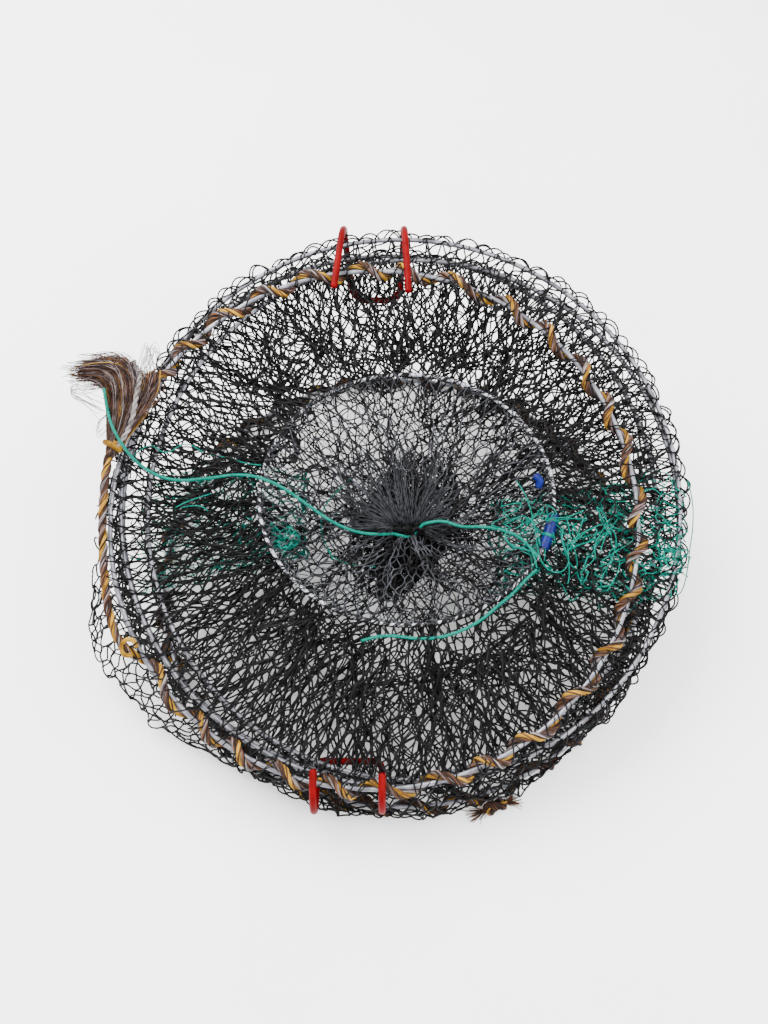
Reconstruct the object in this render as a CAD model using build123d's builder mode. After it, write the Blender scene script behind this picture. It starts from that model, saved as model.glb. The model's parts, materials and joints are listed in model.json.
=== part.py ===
"""Folding crab trap: a rope-wound floor hoop, netting, and a leaning bunch of hoops held by two clips.

Millimetres, +Z up. The origin is on the floor, in the middle of the whole trap's footprint.
Pieces on the floor hoop are placed from its centre; everything above the side netting is placed on
the leaning plane of the top hoop, where u runs along X, v runs up the slope and w stands off it.
"""
import os
from math import cos, pi, radians, sin, tan

from build123d import *

os.makedirs("parts", exist_ok=True)

# ---- driving dimensions ------------------------------------------------------------------------
# the floor hoop's centre, measured from the middle of the footprint
hoop_x = 27.5
hoop_y = -5.1
wire_d = 5.5            # galvanised steel wire of all five large hoops
rope_d = 8.0            # three-strand rope wound on the top and bottom hoops
slack = 0.3             # clearance between a soft piece and its neighbour
end_hoop_r = 300.0      # top and bottom hoops, to the wire's centre line
rope_r = wire_d / 2 + rope_d            # outer radius of the rope winding
bottom_z = rope_r - 0.25                # the rope squashes a little where it stands on the floor

# the bunched hoops lean back about a fold line just in front of the trap
lean = 17.5             # degrees between the bunch and the floor, and the fold's whole range
fold_y = -350.0         # fold line, from the floor hoop's centre
fold_z = 72.0           # height of the fold line, and of the top hoop when the trap is flat
lean_z = fold_z - fold_y * tan(radians(lean))

# (u, v) of each hoop's centre, its radius, and how far it lies below the top hoop's plane
top_hoop_at = (-30.0, -15.0)
outer_hoop_at, outer_hoop_r, outer_hoop_w = (0.0, 10.0), 323.0, -16.0
second_hoop_at, second_hoop_r, second_hoop_w = (15.0, 2.0), 308.0, -24.0
third_hoop_at, third_hoop_r, third_hoop_w = (-12.0, 7.0), 312.0, -32.0

net_t = 2.0             # thickness that stands for a layer of knotted netting
net_out = 3.0           # how far the side netting stands outside the wire it hangs on
net_edge = third_hoop_w - wire_d / 2 - slack    # upper edge of the side netting

# closure: an oval wire ring in the top netting, and a skirt of net gathered inside it
ring_at = (7.0, 10.0)
ring_a, ring_b = 169.0, 147.0           # half width and half depth of the oval
ring_wire_d = 4.0
ring_w = -4.0
sleeve_d = 13.0
binding_d = 16.0
sleeve_from, sleeve_arc = -24.0, 16.0   # degrees round the ring
gather_at = (9.0, -22.0)
gather_w = -38.0

cord_d = 4.0            # green drawcord and funnel cords
clip_d = 8.0            # plastic-coated wire of the two clips
clip_top_w, clip_low_w = 17.5, -40.5    # heights of a clip's two runs, above and below the bunch
clip_bend = 28.8

# funnels in the side netting, seen along X: (y, z) of the centre, width and height
funnel_wall_r = 296.0
outer_mouth = (22.0, 72.0, 160.0, 88.0)
right_inner_mouth = (-5.0, 88.0, 110.0, 46.0)
left_inner_mouth = (38.0, 88.0, 104.0, 46.0)
inner_mouth_x = 120.0

floor_plane = Plane(origin=(hoop_x, hoop_y, 0))
top_plane = Plane(
    origin=(hoop_x, hoop_y, lean_z), x_dir=(1, 0, 0), z_dir=(0, -sin(radians(lean)), cos(radians(lean)))
)


def on_top(u, v, w):
    """A point given on the leaning plane, in the trap's own frame."""
    return top_plane.from_local_coords(Vector(u, v, w))


def finish(builder, name):
    builder.part.label = name
    export_step(builder.part, f"parts/{name}.step")


def wire_hoop(name, plane, centre, radius):
    with BuildPart(plane) as ring:
        with Locations(centre):
            Torus(radius, wire_d / 2)
    finish(ring, name)


def swept_wire(name, points, radii, diameter, round_ends=0.0):
    """A round wire or cord along straight runs joined by tangent arcs."""
    with BuildPart() as wire:
        with BuildLine() as path:
            FilletPolyline(*points, radius=radii)
        with BuildSketch(Plane(origin=path.line @ 0, z_dir=path.line % 0)):
            Circle(diameter / 2)
        sweep(path=path.line)
        if round_ends:
            fillet(wire.faces().filter_by(GeomType.PLANE).edges(), round_ends)
    finish(wire, name)
    length = path.wire().length
    print(f"{name}: length {length:.0f}, radii {[round(radius, 1) for radius in radii]}")
    print(f"  volume {wire.part.volume:.0f}, section times length {pi * diameter ** 2 / 4 * length:.0f}")


def cord_radii(points):
    """The largest arc that each corner's two runs leave room for."""
    radii = []
    for before, here, after in zip(points, points[1:], points[2:]):
        run_in = Vector(*here) - Vector(*before)
        run_out = Vector(*after) - Vector(*here)
        half_turn = radians(run_in.get_angle(run_out)) / 2
        radii.append(0.45 * min(run_in.length, run_out.length) / tan(half_turn))
    return radii


# ---- floor hoop, its rope and the bottom net ----------------------------------------------------
wire_hoop("bottom_hoop", floor_plane.offset(bottom_z), (0, 0), end_hoop_r)

with BuildPart(floor_plane.offset(bottom_z)) as bottom_rope:
    Torus(end_hoop_r, rope_r)
    Torus(end_hoop_r, wire_d / 2 + slack, mode=Mode.SUBTRACT)
    split(bisect_by=Plane.XY, keep=Keep.TOP)
finish(bottom_rope, "bottom_rope")

# the knot that ends the bottom rope lies along the outside of the winding, near the front right
knot_length, knot_d, knot_angle = 34.0, 13.0, radians(-70)
knot_r = end_hoop_r + rope_r + knot_d / 2 + slack
along_winding = Plane(
    origin=(hoop_x + knot_r * cos(knot_angle), hoop_y + knot_r * sin(knot_angle), knot_d / 2 + 1),
    x_dir=(0, 0, 1), z_dir=(-sin(knot_angle), cos(knot_angle), 0),
)
with BuildPart(along_winding) as bottom_rope_end:
    Cylinder(knot_d / 2, knot_length)
    fillet(bottom_rope_end.edges().filter_by(GeomType.CIRCLE), knot_d / 2 - 1)
finish(bottom_rope_end, "bottom_rope_end")

with BuildPart(floor_plane.offset(8)) as bottom_net:
    Cylinder(end_hoop_r - rope_r - slack, net_t, align=(Align.CENTER, Align.CENTER, Align.MIN))
finish(bottom_net, "bottom_net")


# ---- side netting, from the bottom rope up to the lowest of the bunched hoops --------------------
def side_plane(x):
    """The upright plane at x from the floor hoop's centre, seen along X."""
    return Plane(origin=(hoop_x + x, hoop_y, 0), x_dir=(0, 1, 0), z_dir=(1, 0, 0))


wall_x = end_hoop_r + 10    # just outside the side netting, where the funnels' outer mouths are drawn
with BuildPart() as side_net:
    for thinner, mode in ((0, Mode.ADD), (net_t, Mode.SUBTRACT)):
        with BuildSketch(floor_plane.offset(bottom_z + rope_r + slack)):
            Circle(end_hoop_r + net_out - thinner)
        with BuildSketch(top_plane.offset(net_edge)):
            with Locations(third_hoop_at):
                Circle(third_hoop_r + net_out - thinner)
        loft(mode=mode)
    # each entrance is an opening in the netting
    y, z, width, height = outer_mouth
    for side in (1, -1):
        with BuildSketch(side_plane(side * wall_x)):
            with Locations((y, z)):
                RectangleRounded(width - 2 * net_t, height - 2 * net_t, height / 2 - net_t - 1)
        extrude(amount=40, both=True, mode=Mode.SUBTRACT)
    # the two clips reach in through the meshes along the upper edge
    for middle, width in (((-34, 320), 108), ((-58, -306), 96)):
        with Locations(top_plane.offset(clip_low_w).location * Location((*middle, 0))):
            Box(width, 60, clip_d + 5, mode=Mode.SUBTRACT)
finish(side_net, "side_net")


# ---- entrance funnels, their mouth cords and the cord that holds the mouths apart ----------------
def funnel(name, side, inner):
    """A tapered sock of net, from the side netting in to a narrow mouth."""
    ends = ((wall_x, outer_mouth), (inner_mouth_x, inner))
    with BuildPart() as sock:
        for thinner, mode in ((0, Mode.ADD), (2 * net_t, Mode.SUBTRACT)):
            for x, (y, z, width, height) in ends:
                with BuildSketch(side_plane(side * x)):
                    with Locations((y, z)):
                        RectangleRounded(width - thinner, height - thinner, (height - thinner) / 2 - 1)
            loft(mode=mode)
        with Locations((hoop_x, hoop_y, 0)):
            Cylinder(funnel_wall_r, 400, mode=Mode.INTERSECT)
    finish(sock, name)


def mouth_ring(name, side, inner):
    """The cord loop that the mesh of a funnel's narrow end is tied to."""
    y, z, width, height = inner
    plane = side_plane(side * (inner_mouth_x - cord_d / 2 - slack))
    corners = [(y + width / 2 * a, z + height / 2 * b) for a, b in ((-1, -1), (1, -1), (1, 1), (-1, 1))]
    with BuildPart() as ring:
        with BuildLine(plane) as path:
            FilletPolyline(*corners, radius=height / 2 - 1, close=True)
        with BuildSketch(Plane(origin=path.line @ 0, z_dir=path.line % 0)):
            Circle(cord_d / 2)
        sweep(path=path.line)
    finish(ring, name)


funnel("right_funnel_net", 1, right_inner_mouth)
funnel("left_funnel_net", -1, left_inner_mouth)
mouth_ring("right_mouth_ring", 1, right_inner_mouth)
mouth_ring("left_mouth_ring", -1, left_inner_mouth)

# the tie runs from the top of one mouth ring to the top of the other, pulled tight
tie_d = 3.0
tie_x = inner_mouth_x - cord_d - 2 * slack
tie_z = left_inner_mouth[1] + left_inner_mouth[3] / 2
tie_left = (hoop_x - tie_x, hoop_y + left_inner_mouth[0], tie_z)
tie_right = (hoop_x + tie_x, hoop_y + right_inner_mouth[0], tie_z)
tie_plane = Plane(origin=tie_left, z_dir=Vector(*tie_right) - Vector(*tie_left))
with BuildPart() as funnel_tie_cord:
    with BuildSketch(tie_plane):
        Circle(tie_d / 2)
    extrude(amount=(Vector(*tie_right) - Vector(*tie_left)).length)
finish(funnel_tie_cord, "funnel_tie_cord")


# ---- the bunched hoops and the top rope ------------------------------------------------------------
wire_hoop("top_hoop", top_plane, top_hoop_at, end_hoop_r)
wire_hoop("outer_hoop", top_plane.offset(outer_hoop_w), outer_hoop_at, outer_hoop_r)
wire_hoop("second_hoop", top_plane.offset(second_hoop_w), second_hoop_at, second_hoop_r)
wire_hoop("third_hoop", top_plane.offset(third_hoop_w), third_hoop_at, third_hoop_r)

with BuildPart(top_plane) as top_rope:
    with Locations(top_hoop_at):
        Torus(end_hoop_r, rope_r)
        Torus(end_hoop_r, wire_d / 2 + slack, mode=Mode.SUBTRACT)
finish(top_rope, "top_rope")


# ---- netting on the bunch: from the top rope out over the outer hoop, and in to the closure ring -----
shoulder_w = outer_hoop_w + wire_d / 2 + slack
scallop = 8.0           # how far the loops of net stand outside the outer hoop
with BuildPart() as shoulder_net:
    with BuildSketch(top_plane.offset(shoulder_w)):
        with Locations(outer_hoop_at):
            Circle(outer_hoop_r + scallop)
        with Locations(top_hoop_at):
            Circle(end_hoop_r + rope_r + slack, mode=Mode.SUBTRACT)
        # the far clip comes up through the loops
        with Locations((-34, 342)):
            Rectangle(108, 20, mode=Mode.SUBTRACT)
    extrude(amount=net_t)
finish(shoulder_net, "shoulder_net")

binding_gap = binding_d / 2 + slack
with BuildPart() as top_net:
    with BuildSketch(top_plane.offset(ring_w)):
        with Locations(top_hoop_at):
            Circle(end_hoop_r - rope_r - slack)
        with Locations(ring_at):
            Ellipse(ring_a + binding_gap, ring_b + binding_gap, mode=Mode.SUBTRACT)
    extrude(amount=net_t)
finish(top_net, "top_net")


# ---- closure ring, its plastic sleeve and the gathered skirt ------------------------------------------
def ring_arc(start, arc_size, diameter, bore=0.0):
    """A tube round the closure ring's oval, angles in degrees, hollow where it has a bore."""
    with BuildPart() as tube:
        with BuildLine(top_plane.offset(ring_w)) as path:
            EllipticalCenterArc(ring_at, ring_a, ring_b, start, arc_size=arc_size)
        with BuildSketch(Plane(origin=path.line @ 0, z_dir=path.line % 0)):
            Circle(diameter / 2)
            if bore:
                Circle(bore / 2, mode=Mode.SUBTRACT)
        sweep(path=path.line)
    return tube


finish(ring_arc(0, 360, ring_wire_d), "closure_ring")
finish(ring_arc(sleeve_from, sleeve_arc, sleeve_d, ring_wire_d + 2 * slack), "ring_sleeve")
finish(ring_arc(sleeve_from + sleeve_arc - 5, 3, binding_d, sleeve_d + 2 * slack), "sleeve_binding")

with BuildPart() as closure_net:
    for thinner, mode in ((0, Mode.ADD), (net_t, Mode.SUBTRACT)):
        with BuildSketch(top_plane.offset(ring_w - ring_wire_d / 2 - slack)):
            with Locations(ring_at):
                Ellipse(ring_a - binding_gap - thinner, ring_b - binding_gap - thinner)
        with BuildSketch(top_plane.offset(gather_w + thinner)):
            with Locations(gather_at):
                Ellipse(16 - thinner, 15 - thinner)
        loft(mode=mode)
finish(closure_net, "closure_net")

gather_knot_d, gather_knot_h = 18.0, 13.0
with BuildPart() as drawcord_knot:
    with Locations(top_plane.offset(gather_w + net_t + 8).location * Location((*gather_at, 0))):
        Cylinder(gather_knot_d / 2, gather_knot_h)
    fillet(drawcord_knot.edges().filter_by(GeomType.CIRCLE), gather_knot_h / 2 - 1)
finish(drawcord_knot, "drawcord_knot")


# ---- green drawcord: left end to the tassel, right end to the sleeve, and its loose tail -----------------
left_route = [
    (-336, 127, 36), (-331, 97, 36), (-318, 68, 34), (-296, 40, 24), (-262, 24, 13), (-222, 29, 6),
    (-178, 36, 5), (-140, 24, 3), (-106, 0, -2), (-74, -22, -8), (-38, -33, -15), (-8, -30, -19),
]
right_route = [
    (26, -19, -18), (46, -14, -12), (68, -25, -7), (94, -25, 0), (120, -31, 5), (140, -43, 9), (153, -62, 10),
]
tail_route = [
    (152, -76, 8), (138, -88, 3), (126, -102, 0), (108, -116, 2), (90, -132, 4), (66, -145, 5),
    (42, -152, 4), (16, -153, 3), (-8, -149, 3), (-28, -150, 3), (-44, -155, 3),
]


def cord(name, route):
    points = [on_top(*point) for point in route]
    swept_wire(name, points, cord_radii(points), cord_d)


cord("drawcord_left", left_route)
cord("drawcord_right", right_route)
cord("drawcord_tail", tail_route)


# ---- frayed end of the top rope ------------------------------------------------------------------------
with BuildPart() as rope_tassel:
    with BuildSketch(top_plane.offset(rope_r + 1)):
        with BuildLine():
            Polyline((-342, 44), (-326, 46), (-308, 92), (-262, 150), (-256, 166), (-292, 190), (-318, 172))
            Polyline((-318, 172), (-350, 160), (-384, 156), (-386, 144), (-350, 134), (-342, 100), (-342, 44))
        make_face()
    extrude(amount=20)
    slope_up = Axis(top_plane.origin, top_plane.z_dir)
    fillet(rope_tassel.faces().sort_by(slope_up)[-1].edges(), 4)
finish(rope_tassel, "rope_tassel")


# ---- the two clips, each one wire: a tip, over the hoops, under them, across, and back to a tip ------------
def clip(name, tip_left, tip_right, outer_v, base_v, base_left, base_right, base_bend):
    """Tips are (u, v); the base bar runs inside the trap, below the hoops, from u to u."""
    outer_left = (tip_left[0] + base_left) / 2
    outer_right = (tip_right[0] + base_right) / 2
    points = [
        (tip_left[0], tip_left[1], clip_top_w), (outer_left, outer_v, clip_top_w),
        (outer_left, outer_v, clip_low_w), (base_left, base_v, clip_low_w),
        (base_right, base_v, clip_low_w), (outer_right, outer_v, clip_low_w),
        (outer_right, outer_v, clip_top_w), (tip_right[0], tip_right[1], clip_top_w),
    ]
    bends = [clip_bend, clip_bend, base_bend, base_bend, clip_bend, clip_bend]
    swept_wire(name, [on_top(*point) for point in points], bends, clip_d, round_ends=clip_d / 2 - 0.5)


clip("far_clip", (-78, 256), (10, 250), 341.5, 265, -56, 0, 18)
clip("near_clip", (-95, -293), (-21, -297), -338, -286, -95, -21, 10)
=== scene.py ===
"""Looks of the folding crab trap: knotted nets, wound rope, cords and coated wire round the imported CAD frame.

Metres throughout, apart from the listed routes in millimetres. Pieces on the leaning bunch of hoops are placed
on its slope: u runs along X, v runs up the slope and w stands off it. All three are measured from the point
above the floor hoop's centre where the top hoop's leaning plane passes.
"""
import json
from math import cos, pi, radians, sin, tan

import bpy
import numpy as np
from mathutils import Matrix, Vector


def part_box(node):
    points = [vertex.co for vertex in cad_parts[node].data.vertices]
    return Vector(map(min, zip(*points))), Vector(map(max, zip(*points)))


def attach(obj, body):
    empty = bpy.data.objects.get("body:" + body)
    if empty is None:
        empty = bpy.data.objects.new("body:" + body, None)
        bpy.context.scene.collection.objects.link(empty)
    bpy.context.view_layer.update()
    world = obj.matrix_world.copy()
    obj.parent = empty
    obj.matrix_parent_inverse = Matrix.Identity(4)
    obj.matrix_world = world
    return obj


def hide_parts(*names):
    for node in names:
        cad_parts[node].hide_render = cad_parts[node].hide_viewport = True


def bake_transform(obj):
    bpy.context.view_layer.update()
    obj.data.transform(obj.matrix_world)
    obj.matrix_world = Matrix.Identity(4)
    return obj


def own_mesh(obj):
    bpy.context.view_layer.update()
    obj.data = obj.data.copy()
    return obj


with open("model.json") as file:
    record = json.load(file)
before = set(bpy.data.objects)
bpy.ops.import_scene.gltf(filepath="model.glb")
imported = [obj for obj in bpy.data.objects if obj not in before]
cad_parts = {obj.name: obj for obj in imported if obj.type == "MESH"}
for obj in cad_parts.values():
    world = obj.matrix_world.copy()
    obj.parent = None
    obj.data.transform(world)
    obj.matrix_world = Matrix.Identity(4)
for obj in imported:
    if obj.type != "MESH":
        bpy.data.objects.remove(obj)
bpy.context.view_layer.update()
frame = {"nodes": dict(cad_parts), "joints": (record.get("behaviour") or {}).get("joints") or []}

# ---- the frame's own places --------------------------------------------------------------------------
fold = next(joint for joint in frame["joints"] if joint["name"] == "fold")
lean = radians(-fold["range_deg"][0])
across = np.array((1.0, 0.0, 0.0))
up_slope = np.array((0.0, cos(lean), sin(lean)))
off_slope = np.array((0.0, -sin(lean), cos(lean)))
up = np.array((0.0, 0.0, 1.0))


def middle(node):
    """The middle of a CAD node's box."""
    low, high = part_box(node)
    return np.array((low + high) / 2)


floor_hoop = middle("bottom_hoop")
hoop_low, hoop_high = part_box("bottom_hoop")
wire_r = (hoop_high.z - hoop_low.z) / 2
hoop_r = (hoop_high.x - hoop_low.x) / 2 - wire_r
slope_z = fold["pos_m"][2] + (floor_hoop[1] - fold["pos_m"][1]) * tan(lean)
slope_origin = np.array((floor_hoop[0], floor_hoop[1], slope_z))
rope_d = 0.008


def slope(u, v, w):
    """Points on the leaning bunch, from numbers or arrays."""
    u, v, w = (np.asarray(x, float)[..., None] for x in (u, v, w))
    return slope_origin + u * across + v * up_slope + w * off_slope


class Loop:
    """A hoop on the slope: its centre (u, v), how far it stands off (w), its half width and half depth."""

    def __init__(self, node, wire):
        low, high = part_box(node)
        offset = middle(node) - slope_origin
        self.u, self.v, self.w = offset @ across, offset @ up_slope, offset @ off_slope
        self.a = (high.x - low.x) / 2 - wire
        self.b = ((high.y - low.y) / 2 - wire) / cos(lean)

    def at(self, angle, reach=0.0, lift=0.0):
        """Points round the hoop, reach outside its wire's middle and lift off the slope."""
        u = self.u + (self.a + reach) * np.cos(angle)
        v = self.v + (self.b + reach) * np.sin(angle)
        return slope(u, v, self.w + lift)


top_hoop = Loop("top_hoop", wire_r)
outer_hoop = Loop("outer_hoop", wire_r)
second_hoop = Loop("second_hoop", wire_r)
third_hoop = Loop("third_hoop", wire_r)
ring_wire_r = 0.002
closure_ring = Loop("closure_ring", ring_wire_r)
gather = middle("drawcord_knot")
gather_u, gather_v = (gather - slope_origin) @ across, (gather - slope_origin) @ up_slope
gather_w = (gather - slope_origin) @ off_slope


# ---- camera ------------------------------------------------------------------------------------------
def add(obj):
    bpy.context.scene.collection.objects.link(obj)
    return obj


camera_data = bpy.data.cameras.new("camera")
camera_data.sensor_fit = "VERTICAL"
camera_data.sensor_height = 36
camera_data.lens = 38.67
camera = add(bpy.data.objects.new("camera", camera_data))
looks_down = radians(60.7)
from_floor_hoop = Vector((-0.019, -0.621, 1.2615))
camera.location = Vector(floor_hoop) + from_floor_hoop
camera.rotation_euler = (pi / 2 - looks_down, 0, 0)
bpy.context.scene.camera = camera


# ---- materials ---------------------------------------------------------------------------------------
def noise(tree, place, scale, detail):
    node = tree.nodes.new("ShaderNodeTexNoise")
    node.inputs["Scale"].default_value = scale
    node.inputs["Detail"].default_value = detail
    tree.links.new(place, node.inputs["Vector"])
    return node.outputs["Fac"]


def finish(name, dark, light, scale, roughness, bump, bump_scale, shine, detail=6, metal=0.0):
    """A material whose colour varies between two tones, with a fine bump. The scales are per metre."""
    material = bpy.data.materials.new(name)
    material.use_nodes = True
    tree = material.node_tree
    surface = tree.nodes["Principled BSDF"]
    surface.inputs["Specular IOR Level"].default_value = shine
    surface.inputs["Metallic"].default_value = metal
    place = tree.nodes.new("ShaderNodeTexCoord").outputs["Object"]
    tone = noise(tree, place, scale, detail)
    ramp = tree.nodes.new("ShaderNodeValToRGB")
    ramp.color_ramp.elements[0].position = 0.36
    ramp.color_ramp.elements[1].position = 0.64
    ramp.color_ramp.elements[0].color = (*dark, 1)
    ramp.color_ramp.elements[1].color = (*light, 1)
    tree.links.new(tone, ramp.inputs["Fac"])
    tree.links.new(ramp.outputs["Color"], surface.inputs["Base Color"])
    rough = tree.nodes.new("ShaderNodeMapRange")
    rough.inputs["To Min"].default_value = roughness - 0.1
    rough.inputs["To Max"].default_value = roughness + 0.12
    tree.links.new(tone, rough.inputs["Value"])
    tree.links.new(rough.outputs["Result"], surface.inputs["Roughness"])
    relief = tree.nodes.new("ShaderNodeBump")
    relief.inputs["Strength"].default_value = bump
    relief.inputs["Distance"].default_value = 0.0004
    tree.links.new(noise(tree, place, bump_scale, 3), relief.inputs["Height"])
    tree.links.new(relief.outputs["Normal"], surface.inputs["Normal"])
    return material


twine = dict(roughness=0.55, bump=0.5, bump_scale=1500)
black_twine = finish("black_twine", (0.0009, 0.0009, 0.001), (0.0045, 0.0045, 0.005), 160, shine=0.12,
                     **twine)
grey_twine = finish("grey_twine", (0.014, 0.0145, 0.017), (0.048, 0.05, 0.058), 150, shine=0.15, **twine)
# painted shade: the closure net's grey twine made darker for its pleats, standing in for the shade in the folds
fold_shade_twine = finish("fold_shade_twine", (0.006, 0.0063, 0.0075), (0.03, 0.031, 0.036), 220, shine=0.12, **twine)
green_twine = finish("green_twine", (0.0003, 0.07, 0.05), (0.001, 0.16, 0.12), 140, 0.5, 0.4, 1500, 0.08)
green_cord = finish("green_cord", (0.0002, 0.075, 0.052), (0.0006, 0.125, 0.095), 260, 0.6, 0.6, 2500, 0.06)
yarn = dict(bump=0.8, bump_scale=2600, shine=0.1, detail=8)
brown_yarn = finish("brown_yarn", (0.014, 0.006, 0.004), (0.1, 0.042, 0.018), 70, 0.75, **yarn)
dark_yarn = finish("dark_yarn", (0.004, 0.0025, 0.0025), (0.028, 0.018, 0.015), 90, 0.75, **yarn)
yellow_yarn = finish("yellow_yarn", (0.11, 0.05, 0.003), (0.36, 0.2, 0.02), 60, 0.7, **yarn)
white_yarn = finish("white_yarn", (0.075, 0.062, 0.062), (0.26, 0.235, 0.225), 60, 0.75, **yarn)
lilac_yarn = finish("lilac_yarn", (0.03, 0.021, 0.023), (0.15, 0.115, 0.115), 75, 0.75, **yarn)
galvanised = finish("galvanised", (0.08, 0.08, 0.092), (0.22, 0.22, 0.245), 90, 0.38, 0.12, 700, 0.5,
                    metal=0.75)
white_wire = finish("white_wire", (0.26, 0.26, 0.29), (0.4, 0.4, 0.44), 120, 0.35, 0.1, 900, 0.5)
red_coating = finish("red_coating", (0.075, 0.0001, 0.0008), (0.12, 0.0002, 0.0013), 60, 0.45, 0.5, 260, 0.04)
blue_plastic = finish("blue_plastic", (0.0003, 0.002, 0.05), (0.0008, 0.006, 0.085), 70, 0.4, 0.25, 300, 0.12)
floor_paper = finish("floor_paper", (0.86, 0.86, 0.86), (0.9, 0.9, 0.9), 3, 0.8, 0.02, 18, 0.5)


# ---- mesh makers -------------------------------------------------------------------------------------
def on_slope(route):
    """The points of a listed route of (u, v, w) in millimetres."""
    return [slope(*(c / 1000 for c in point)) for point in route]


def unit(vectors):
    return vectors / np.maximum(np.linalg.norm(vectors, axis=-1, keepdims=True), 1e-12)


def frames(paths):
    """Two directions square to each path at each point, carried along it without twisting."""
    tangents = unit(np.gradient(paths, axis=1))
    first = np.cross(tangents[:, 0], (0.31, 0.52, 0.8))
    side = np.empty_like(paths)
    side[:, 0] = unit(first)
    for i in range(1, paths.shape[1]):
        carried = side[:, i - 1]
        carried = carried - (carried * tangents[:, i]).sum(-1, keepdims=True) * tangents[:, i]
        side[:, i] = unit(carried)
    return side, np.cross(tangents, side)


def tubes(paths, radius, sides=3):
    """Closed tubes round many paths of the same number of points: their corners and faces."""
    paths = np.asarray(paths, float)
    count, steps = paths.shape[:2]
    side, over = frames(paths)
    turn = np.arange(sides) * 2 * pi / sides
    ring = side[:, :, None] * np.cos(turn)[:, None] + over[:, :, None] * np.sin(turn)[:, None]
    radius = np.broadcast_to(np.asarray(radius, float), (count, steps))
    corners = paths[:, :, None] + ring * radius[:, :, None, None]
    index = np.arange(count * steps * sides).reshape(count, steps, sides)
    here, there = index[:, :-1], index[:, 1:]
    walls = np.stack((here, np.roll(here, -1, 2), np.roll(there, -1, 2), there), -1).reshape(-1, 4)
    caps = np.concatenate((index[:, 0, ::-1], index[:, -1]))
    return corners.reshape(-1, 3), walls.tolist() + caps.tolist()


def lumps(points, radius, rng):
    """Small eight-sided knots, each turned its own way."""
    points = np.asarray(points, float).reshape(-1, 3)
    shape = np.array(((1, 0, 0), (-1, 0, 0), (0, 1, 0), (0, -1, 0), (0, 0, 1), (0, 0, -1)), float)
    turned = np.linalg.qr(rng.normal(size=(len(points), 3, 3)))[0]
    sizes = radius * rng.uniform(0.8, 1.3, (len(points), 1, 3))
    corners = points[:, None] + (shape[None] * sizes) @ turned
    faces = np.array([(a, b, c) if (a + b + c) % 2 else (a, c, b)
                      for a in (0, 1) for b in (2, 3) for c in (4, 5)])
    every = np.arange(len(points))[:, None, None] * 6 + faces[None]
    return corners.reshape(-1, 3), every.reshape(-1, 3).tolist()


def together(*parts):
    """Several (corners, faces) as one."""
    corners, faces, start = [], [], 0
    for more, its_faces in parts:
        corners.append(more)
        faces += [[i + start for i in face] for face in its_faces]
        start += len(more)
    return np.concatenate(corners), faces


def piece(name, shape, material, body=None):
    corners, faces = shape
    mesh = bpy.data.meshes.new(name)
    mesh.from_pydata(corners.tolist(), [], faces)
    mesh.shade_smooth()
    mesh.materials.append(material)
    obj = add(bpy.data.objects.new(name, mesh))
    if body:
        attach(obj, body)
    return obj


def spline(name, points):
    """The smooth line of a given route, as a NURBS curve with the route's points as its control points."""
    data = bpy.data.curves.new(name, "CURVE")
    data.dimensions = "3D"
    data.resolution_u = 16
    line = data.splines.new("NURBS")
    line.points.add(len(points) - 1)
    for spot, where in zip(line.points, points):
        spot.co = (*where, 1)
    line.order_u = 3
    line.use_endpoint_u = True
    return add(bpy.data.objects.new(name, data))


def line_points(name, points):
    """Points along a route's smooth line."""
    curve = spline(name, points)
    mesh = bpy.data.meshes.new_from_object(curve)
    spots = np.array([v.co for v in mesh.vertices])
    bpy.data.meshes.remove(mesh)
    bpy.data.objects.remove(curve)
    return spots


def evenly(points, step):
    """The same line, with its points a step apart."""
    points = np.asarray(points, float)
    run = np.concatenate(((0,), np.cumsum(np.linalg.norm(np.diff(points, axis=0), axis=1))))
    spots = np.linspace(0, run[-1], max(4, int(round(run[-1] / step)) + 1))
    return np.stack([np.interp(spots, run, points[:, k]) for k in range(3)], -1)


def strands(line, count, out, pitch, start=0.0):
    """Lines that wind together round a line, out from it, one turn each pitch."""
    side, over = (x[0] for x in frames(line[None]))
    run = np.concatenate(((0,), np.cumsum(np.linalg.norm(np.diff(line, axis=0), axis=1))))
    found = []
    for k in range(count):
        turn = (2 * pi * (run / pitch + k / count) + start)[:, None]
        found.append(line + out * (side * np.cos(turn) + over * np.sin(turn)))
    return np.stack(found)


# ---- green drawcord ----------------------------------------------------------------------------------
cord_d = 0.004
drawcords = {               # each one's length, its far end and its route
    "drawcord_left": (0.410, "object", [
        (-0.336, 0.127, 0.036), (-0.331, 0.097, 0.036), (-0.318, 0.068, 0.034), (-0.296, 0.040, 0.024),
        (-0.262, 0.024, 0.013), (-0.222, 0.029, 0.006), (-0.178, 0.036, 0.005), (-0.140, 0.024, 0.003),
        (-0.106, 0.000, -0.002), (-0.074, -0.022, -0.008), (-0.038, -0.033, -0.015), (-0.008, -0.030, -0.019),
    ]),
    "drawcord_right": (0.146, "object", [
        (0.026, -0.019, -0.018), (0.046, -0.014, -0.012), (0.068, -0.025, -0.007), (0.094, -0.025, 0.000),
        (0.120, -0.031, 0.005), (0.140, -0.043, 0.009), (0.153, -0.062, 0.010),
    ]),
    "drawcord_tail": (0.224, "bare", [
        (0.152, -0.076, 0.008), (0.138, -0.088, 0.003), (0.126, -0.102, 0.000), (0.108, -0.116, 0.002),
        (0.090, -0.132, 0.004), (0.066, -0.145, 0.005), (0.042, -0.152, 0.004), (0.016, -0.153, 0.003),
        (-0.008, -0.149, 0.003), (-0.028, -0.150, 0.003), (-0.044, -0.155, 0.003),
    ]),
}
ply_r = cord_d * 0.3
ply_out = cord_d / 2 - ply_r
cord_lay = 0.011            # along the cord, for one turn of its plies
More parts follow.
